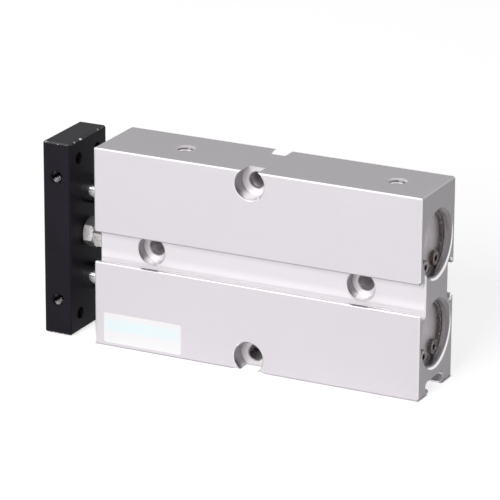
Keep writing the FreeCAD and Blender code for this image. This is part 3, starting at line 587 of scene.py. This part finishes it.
class CylinderStage(bpy.types.PropertyGroup):
    floor_colour: colour_setting("Floor", "Pale floor", 0.82, 0.82, 0.82)
    floor_radius: bpy.props.FloatProperty(
        name="Floor radius", description="Radius of the round floor", default=1.6, min=0.2,
        subtype="DISTANCE", unit="LENGTH")
    key_power: bpy.props.FloatProperty(
        name="Key lamp", description="Power of the broad lamp in front", default=12.0, min=0.0,
        subtype="POWER", unit="POWER")
    top_power: bpy.props.FloatProperty(
        name="Top lamp", description="Power of the lamp above", default=0.5, min=0.0,
        subtype="POWER", unit="POWER")
    ambient: bpy.props.FloatProperty(
        name="Room light", description="Even light from all sides", default=0.14, min=0.0, max=1.0,
        subtype="FACTOR")


# Shapes


def new_piece(name, mesh_data, material, body):
    piece = bpy.data.objects.new(name, mesh_data)
    bpy.context.scene.collection.objects.link(piece)
    mesh_data.materials.append(material)
    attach(piece, body)
    return piece


def finished_mesh(name, work, sharp_angle=40.0):
    """A mesh from a bmesh, smooth apart from its sharp edges."""
    bmesh.ops.recalc_face_normals(work, faces=work.faces)
    mesh_data = bpy.data.meshes.new(name)
    for face in work.faces:
        face.smooth = True
    work.to_mesh(mesh_data)
    work.free()
    mesh_data.set_sharp_from_angle(angle=math.radians(sharp_angle))
    return mesh_data


def hole_frame(centre, axis):
    """A frame whose local Z runs along a hole."""
    return Matrix.Translation(centre) @ Vector(axis).to_track_quat("Z", "Y").to_matrix().to_4x4()


def add_ridge(work, place, radius, rise, pitch, low, start, finish):
    """One helical thread ridge from angle start to angle finish, its ends run out into
    the wall. At angle 0 its middle is at height low."""
    steps = max(6, int((finish - start) / math.tau * STEPS_PER_TURN))
    foot = radius + RIDGE_SINK
    sections = []
    for step in range(steps + 1):
        share = step / steps
        angle = start + (finish - start) * share
        taper = min(1.0, share * steps / RUN_OUT_STEPS, (1.0 - share) * steps / RUN_OUT_STEPS)
        height = low + pitch * angle / math.tau
        crest = radius - rise * taper
        section = []
        for reach, lift in ((foot, -RIDGE_FOOT), (crest, -RIDGE_CREST), (crest, RIDGE_CREST),
                            (foot, RIDGE_FOOT)):
            local = Vector((reach * math.cos(angle), reach * math.sin(angle), height + lift * pitch))
            section.append(work.verts.new(place @ local))
        sections.append(section)
    for first, second in zip(sections, sections[1:]):
        for side in range(4):
            following = (side + 1) % 4
            work.faces.new((first[side], first[following], second[following], second[side]))
    work.faces.new(sections[0])
    work.faces.new(list(reversed(sections[-1])))


def add_thread(work, place, radius, rise, pitch, low, high):
    """A whole internal thread between two heights along its hole."""
    turns = (high - low) / pitch - 1.0
    add_ridge(work, place, radius, rise, pitch, low + pitch / 2, 0.0, turns * math.tau)


def rounded_outline(low, high, radius, inset):
    """Corners of a rounded rectangle in the X and Z directions, drawn in by inset."""
    points = []
    for centre_x, centre_z, start in (
            (high.x - radius, high.z - radius, 0.0), (low.x + radius, high.z - radius, 90.0),
            (low.x + radius, low.z + radius, 180.0), (high.x - radius, low.z + radius, 270.0)):
        for step in range(9):
            angle = math.radians(start + 90.0 * step / 8)
            reach = radius - inset
            points.append((centre_x + reach * math.cos(angle), centre_z + reach * math.sin(angle)))
    return points


# Operators


class CYLINDER_OT_body_finish(bpy.types.Operator):
    """Give the extruded body its anodised finish"""
    bl_idname = "cylinder.body_finish"
    bl_label = "Body finish"

    def execute(self, context):
        colours = context.scene.cylinder_colours
        shades = (colours.body_dark, colours.body_light, colours.body_highlight,
                  colours.machined_dark, colours.machined_light, colours.machined_deep)
        dress(["cylinder_body"], paint("anodised_body", anodised_body, shades))
        return {"FINISHED"}


class CYLINDER_OT_plate_finish(bpy.types.Operator):
    """Give the front plate its black anodised finish and its screws black oxide"""
    bl_idname = "cylinder.plate_finish"
    bl_label = "Plate finish"

    def execute(self, context):
        colours = context.scene.cylinder_colours
        shades = (colours.plate_dark, colours.plate_light, colours.plate_chips_and_highlight)
        dress(["front_plate"], paint("black_anodised", black_anodised, shades))
        oxide = ((0.014, 0.014, 0.015, 1.0), (0.045, 0.043, 0.042, 1.0))
        dress(["rod_screws"], paint("black_oxide", black_oxide, oxide))
        return {"FINISHED"}


class CYLINDER_OT_steel_finish(bpy.types.Operator):
    """Plate the nuts and the stop bolt, chrome the rods and phosphate the rings"""
    bl_idname = "cylinder.steel_finish"
    bl_label = "Steel finishes"

    def execute(self, context):
        colours = context.scene.cylinder_colours
        plating = (colours.steel_dark, colours.steel_light, colours.steel_corner_highlight, colours.steel_shaded_flats)
        dress(["stop_bolt", "stop_nut"] + on_both_bores("piston_nut"),
              paint("plated_steel", plated_hexagon, plating))
        chrome = (colours.chrome_dark, colours.chrome_light)
        dress(on_both_bores("piston_rod"),
              paint("rod_chrome", turned_metal, chrome, 0.05 * MM, 1.0, 0.05, 0.03))
        phosphate = (colours.ring_dark, colours.ring_light, colours.ring_brown, colours.ring_fleck)
        dress(on_both_bores("front_circlip", "rear_circlip"),
              paint("spring_steel", spring_steel, phosphate))
        return {"FINISHED"}


class CYLINDER_OT_turned_finish(bpy.types.Operator):
    """Finish the turned caps, guides, pistons and bushes"""
    bl_idname = "cylinder.turned_finish"
    bl_label = "Turned parts"

    def execute(self, context):
        colours = context.scene.cylinder_colours
        cap = (colours.cap_dark, colours.cap_light)
        dress(on_both_bores("rear_cap"),
              paint("turned_cap", turned_metal, cap, 0.22 * MM, 0.45, 0.38))
        bare = ((0.46, 0.45, 0.45, 1.0), (0.66, 0.65, 0.65, 1.0))
        dress(on_both_bores("rod_guide", "piston"),
              paint("turned_aluminium", turned_metal, bare, 0.16 * MM, 0.85, 0.34))
        bronze = ((0.30, 0.17, 0.07, 1.0), (0.56, 0.37, 0.17, 1.0), (0.07, 0.04, 0.02, 1.0))
        dress(on_both_bores("rod_bush"), paint("sintered_bronze", sintered_bronze, bronze))
        return {"FINISHED"}


class CYLINDER_OT_soft_finish(bpy.types.Operator):
    """Finish the seals, bumpers, wear rings and magnets"""
    bl_idname = "cylinder.soft_finish"
    bl_label = "Rubber and plastic parts"

    def execute(self, context):
        rubber = ((0.008, 0.008, 0.009, 1.0), (0.030, 0.030, 0.031, 1.0))
        dress(on_both_bores("rod_seal", "guide_o_ring", "cap_o_ring", "piston_seal"),
              paint("nitrile_rubber", moulded_rubber, rubber, 0.34))
        urethane = ((0.020, 0.019, 0.018, 1.0), (0.055, 0.052, 0.050, 1.0))
        dress(["stop_pad"] + on_both_bores("front_bumper", "rear_bumper"),
              paint("moulded_urethane", moulded_rubber, urethane, 0.42))
        wear = ((0.24, 0.20, 0.14, 1.0), (0.40, 0.34, 0.25, 1.0), (0.55, 0.50, 0.42, 1.0))
        dress(on_both_bores("wear_ring"), paint("wear_plastic", filled_plastic, wear))
        magnet = ((0.035, 0.033, 0.034, 1.0), (0.075, 0.070, 0.070, 1.0), (0.16, 0.15, 0.15, 1.0))
        dress(on_both_bores("magnet_ring"), paint("bonded_magnet", filled_plastic, magnet))
        return {"FINISHED"}


class CYLINDER_OT_label(bpy.types.Operator):
    """Stick the bare label on the front face"""
    bl_idname = "cylinder.label"
    bl_label = "Label"

    def execute(self, context):
        details = context.scene.cylinder_details
        colours = context.scene.cylinder_colours
        work = bmesh.new()
        soft = details.label_thickness * 0.4
        front = BODY_LOW.y - details.label_thickness
        levels = ((0.0, BODY_LOW.y + 0.005 * MM), (0.0, front + soft), (soft, front))
        loops = []
        for inset, y in levels:
            outline = rounded_outline(LABEL_LOW, LABEL_HIGH, details.label_corner, inset)
            loops.append([work.verts.new((x, y, z)) for x, z in outline])
        for outer, inner in zip(loops, loops[1:]):
            for number in range(len(outer)):
                following = (number + 1) % len(outer)
                work.faces.new((outer[number], outer[following], inner[following], inner[number]))
        work.faces.new(loops[-1])
        work.faces.new(loops[0])
        shades = (colours.label_white, colours.label_shade, colours.label_band)
        new_piece("label", finished_mesh("label", work),
                  paint("label_stock", printed_label, shades), "housing")
        return {"FINISHED"}


class CYLINDER_OT_body_threads(bpy.types.Operator):
    """Cut the look of threads into the body's four holes"""
    bl_idname = "cylinder.body_threads"
    bl_label = "Body hole threads"

    def execute(self, context):
        details = context.scene.cylinder_details
        rise, pitch = details.crest_height, details.body_pitch
        channel_reach = 3.2 * MM
        side_reach = MOUNTS["upper_body_hole"]["dims"]["length_mm"] / 2 * MM
        work = bmesh.new()
        for station in (-HOLE_ALONG, HOLE_ALONG):
            place = hole_frame((station, 0, 0), (0, 1, 0))
            add_thread(work, place, THREAD_RADIUS, rise, pitch, -channel_reach, channel_reach)
        upper = hole_frame((0, 0, HOLE_HEIGHT), (0, 1, 0))
        add_thread(work, upper, THREAD_RADIUS, rise, pitch, -side_reach, side_reach)
        # The sensor slot cuts the lower hole, so each turn there is only its upper half
        lower = hole_frame((0, 0, -HOLE_HEIGHT), (0, 1, 0))
        up = lower.inverted().to_3x3() @ Vector((0, 0, 1))
        middle = math.atan2(up.y, up.x)
        low = pitch - side_reach - pitch * middle / math.tau
        for turn in range(int(side_reach * 2 / pitch) - 1):
            start = middle - math.pi / 2 + turn * math.tau
            add_ridge(work, lower, THREAD_RADIUS, rise, pitch, low, start, start + math.pi)
        new_piece("body_hole_threads", finished_mesh("body_hole_threads", work),
                  bpy.data.materials["anodised_body"], "housing")
        return {"FINISHED"}


class CYLINDER_OT_port_threads(bpy.types.Operator):
    """Cut the look of threads into the two air ports"""
    bl_idname = "cylinder.port_threads"
    bl_label = "Port threads"

    def execute(self, context):
        details = context.scene.cylinder_details
        work = bmesh.new()
        for port in PORTS:
            half = port["dims"]["length_mm"] / 2 * MM
            add_thread(work, hole_frame(port["pos_m"], (0, 0, 1)), PORT_RADIUS,
                       details.crest_height * 1.4, details.body_pitch, -half + 0.2 * MM, half)
        colours = context.scene.cylinder_colours
        shades = (colours.machined_deep, colours.machined_light)
        new_piece("port_threads", finished_mesh("port_threads", work),
                  paint("port_threads", tapped_metal, shades), "housing")
        return {"FINISHED"}


class CYLINDER_OT_plate_threads(bpy.types.Operator):
    """Cut the look of threads into the plate's side and load holes"""
    bl_idname = "cylinder.plate_threads"
    bl_label = "Plate threads"

    def execute(self, context):
        details = context.scene.cylinder_details
        rise, pitch = details.crest_height * 0.8, details.plate_pitch
        work = bmesh.new()
        for face in ("near", "far"):
            for level in ("upper", "lower"):
                hole = MOUNTS["plate_%s_%s_hole" % (face, level)]
                half = hole["dims"]["length_mm"] / 2 * MM
                add_thread(work, hole_frame(hole["pos_m"], hole["axis"]), hole["dims"]["r_mm"] * MM,
                           rise, pitch, -half + 0.2 * MM, half - 0.05 * MM)
        colours = context.scene.cylinder_colours
        shades = (colours.thread_dark, colours.thread_light)
        new_piece("plate_threads", finished_mesh("plate_threads", work),
                  paint("cut_threads", tapped_metal, shades), "carriage")
        work = bmesh.new()
        load = MOUNTS["plate_load_holes"]["dims"]
        half_width = load["spacing_x_mm"] / 2 * MM
        half_height = load["spacing_y_mm"] / 2 * MM
        end_gap = 0.15 * MM
        for y in (-half_width, half_width):
            for z in (-half_height, half_height):
                add_thread(work, hole_frame((PLATE_LOW.x, y, z), (1, 0, 0)), load["hole_r_mm"] * MM,
                           rise, pitch, end_gap, PLATE_HIGH.x - PLATE_LOW.x - end_gap)
        new_piece("load_hole_threads", finished_mesh("load_hole_threads", work),
                  bpy.data.materials["black_anodised"], "carriage")
        return {"FINISHED"}


class CYLINDER_OT_stage(bpy.types.Operator):
    """Set up the floor, lamps, room light and camera"""
    bl_idname = "cylinder.stage"
    bl_label = "Stage"

    def execute(self, context):
        stage = context.scene.cylinder_stage
        make_floor(stage)
        make_room(context.scene, stage)
        make_lamp("key_lamp", *KEY_LAMP, stage.key_power)
        make_lamp("top_lamp", *TOP_LAMP, stage.top_power)
        make_camera(context.scene)
        context.scene.view_settings.view_transform = "Standard"
        return {"FINISHED"}


def on_both_bores(*pieces):
    return ["%s_%s" % (side, piece) for side in ("upper", "lower") for piece in pieces]


def seen_directly(graph):
    """1 for rays that show the surroundings: to the camera, in gloss and through glass."""
    path = graph.node("ShaderNodeLightPath", output="Is Camera Ray")
    return graph.highest(path, path.pick("Is Glossy Ray"), path.pick("Is Transmission Ray"))


def pale_floor(graph, colour):
    """A pale floor that glows where it is seen, apart from the strip that the body covers. Its glow
    fades out just outside the body's foot, a painted contact shadow. It glows in the notch of the lower
    side hole and at the slot's two ends."""
    point = graph.place()
    x, y, _ = graph.split(point)
    middle = (BODY_LOW + BODY_HIGH) / 2
    half = (BODY_HIGH - BODY_LOW) / 2
    soft = 0.5 * MM
    slot_half_width = 4.5 * MM
    slot_glow = 5.0 * MM
    bore_floor = 6.1 * MM
    notch = (abs(x) < SIDE_BORE_RADIUS + 0.1 * MM) * abs(y).smooth(bore_floor, bore_floor + soft)
    slot_end = (abs(y) < slot_half_width) * abs(x - middle.x).smooth(
        half.x - slot_glow - soft, half.x - slot_glow + soft)
    # The glow fades out just outside the body's foot: a painted contact shadow
    open_floor = graph.highest(
        abs(x - middle.x).smooth(half.x - soft / 2, half.x + soft),
        abs(y - middle.y).smooth(half.y - soft / 2, half.y + soft), notch, slot_end)
    dust = graph.noise(point, 60.0, 3.0, 0.5)
    tone = graph.blend(dust * 0.05, colour, (0.74, 0.74, 0.74, 1.0))
    diffuse = graph.node("ShaderNodeBsdfDiffuse", None, {"Color": tone})
    glow = graph.node("ShaderNodeEmission", None, {"Strength": open_floor * 0.75})
    shown = graph.node("ShaderNodeAddShader", None, {0: diffuse, 1: glow})
    surface = graph.node("ShaderNodeMixShader", None, {0: seen_directly(graph), 1: diffuse, 2: shown})
    graph.node("ShaderNodeOutputMaterial", None, {"Surface": surface})


def make_floor(stage):
    work = bmesh.new()
    bmesh.ops.create_circle(work, cap_ends=True, segments=96, radius=stage.floor_radius)
    floor_data = finished_mesh("floor", work)
    floor = bpy.data.objects.new("floor", floor_data)
    floor.location = (0.0, 0.0, BODY_LOW.z - 0.02 * MM)
    bpy.context.scene.collection.objects.link(floor)
    floor_data.materials.append(paint("pale_floor", pale_floor, stage.floor_colour))


def make_room(scene, stage):
    scene.world = bpy.data.worlds.new("room")
    scene.world.use_nodes = True
    graph = Graph(scene.world.node_tree)
    strength = stage.ambient + seen_directly(graph) * (1.0 - stage.ambient)
    light = graph.node("ShaderNodeBackground", None, {
        "Color": (1.0, 1.0, 1.0, 1.0), "Strength": strength})
    graph.node("ShaderNodeOutputWorld", None, {"Surface": light})


def make_lamp(name, place, size, power):
    lamp = bpy.data.lights.new(name, "AREA")
    lamp.shape = "DISK"
    lamp.size = size
    lamp.energy = power
    holder = bpy.data.objects.new(name, lamp)
    holder.location = place
    holder.rotation_mode = "QUATERNION"
    holder.rotation_quaternion = (-Vector(place)).to_track_quat("-Z", "Y")
    holder.visible_camera = False
    bpy.context.scene.collection.objects.link(holder)


def make_camera(scene):
    """The photograph's view: a long lens from the front right, a little above."""
    data = bpy.data.cameras.new("camera")
    data.sensor_width = SENSOR_WIDTH
    data.lens = CAMERA_LENS
    camera = bpy.data.objects.new("camera", data)
    turn = Matrix((CAMERA_RIGHT, CAMERA_UP, CAMERA_BACK)).transposed().to_4x4()
    camera.matrix_world = Matrix.Translation(CAMERA_PLACE) @ turn
    scene.collection.objects.link(camera)
    scene.camera = camera


class CYLINDER_PT_panel(bpy.types.Panel):
    """Lists the operators and settings in the sidebar"""
    bl_idname = "CYLINDER_PT_panel"
    bl_label = "Twin rod cylinder"
    bl_space_type = "VIEW_3D"
    bl_region_type = "UI"
    bl_category = "Cylinder"

    def draw(self, context):
        layout = self.layout
        for operator in OPERATORS:
            layout.operator(operator.bl_idname)
        for group in ("cylinder_details", "cylinder_colours", "cylinder_stage"):
            settings = getattr(context.scene, group)
            box = layout.box()
            for name in settings.__annotations__:
                box.prop(settings, name)


OPERATORS = (
    CYLINDER_OT_body_finish,
    CYLINDER_OT_plate_finish,
    CYLINDER_OT_steel_finish,
    CYLINDER_OT_turned_finish,
    CYLINDER_OT_soft_finish,
    CYLINDER_OT_label,
    CYLINDER_OT_body_threads,
    CYLINDER_OT_port_threads,
    CYLINDER_OT_plate_threads,
    CYLINDER_OT_stage,
)
SETTINGS = {
    "cylinder_colours": CylinderColours,
    "cylinder_details": CylinderDetails,
    "cylinder_stage": CylinderStage,
}


def register():
    for group in SETTINGS.values():
        bpy.utils.register_class(group)
    for operator in OPERATORS:
        bpy.utils.register_class(operator)
    bpy.utils.register_class(CYLINDER_PT_panel)
    for name, group in SETTINGS.items():
        setattr(bpy.types.Scene, name, bpy.props.PointerProperty(type=group))


def unregister():
    for name in SETTINGS:
        delattr(bpy.types.Scene, name)
    bpy.utils.unregister_class(CYLINDER_PT_panel)
    for operator in reversed(OPERATORS):
        bpy.utils.unregister_class(operator)
    for group in reversed(SETTINGS.values()):
        bpy.utils.unregister_class(group)


def main():
    register()
    for operator in OPERATORS:
        group, name = operator.bl_idname.split(".")
        getattr(getattr(bpy.ops, group), name)()


if __name__ == "__main__":
    main()
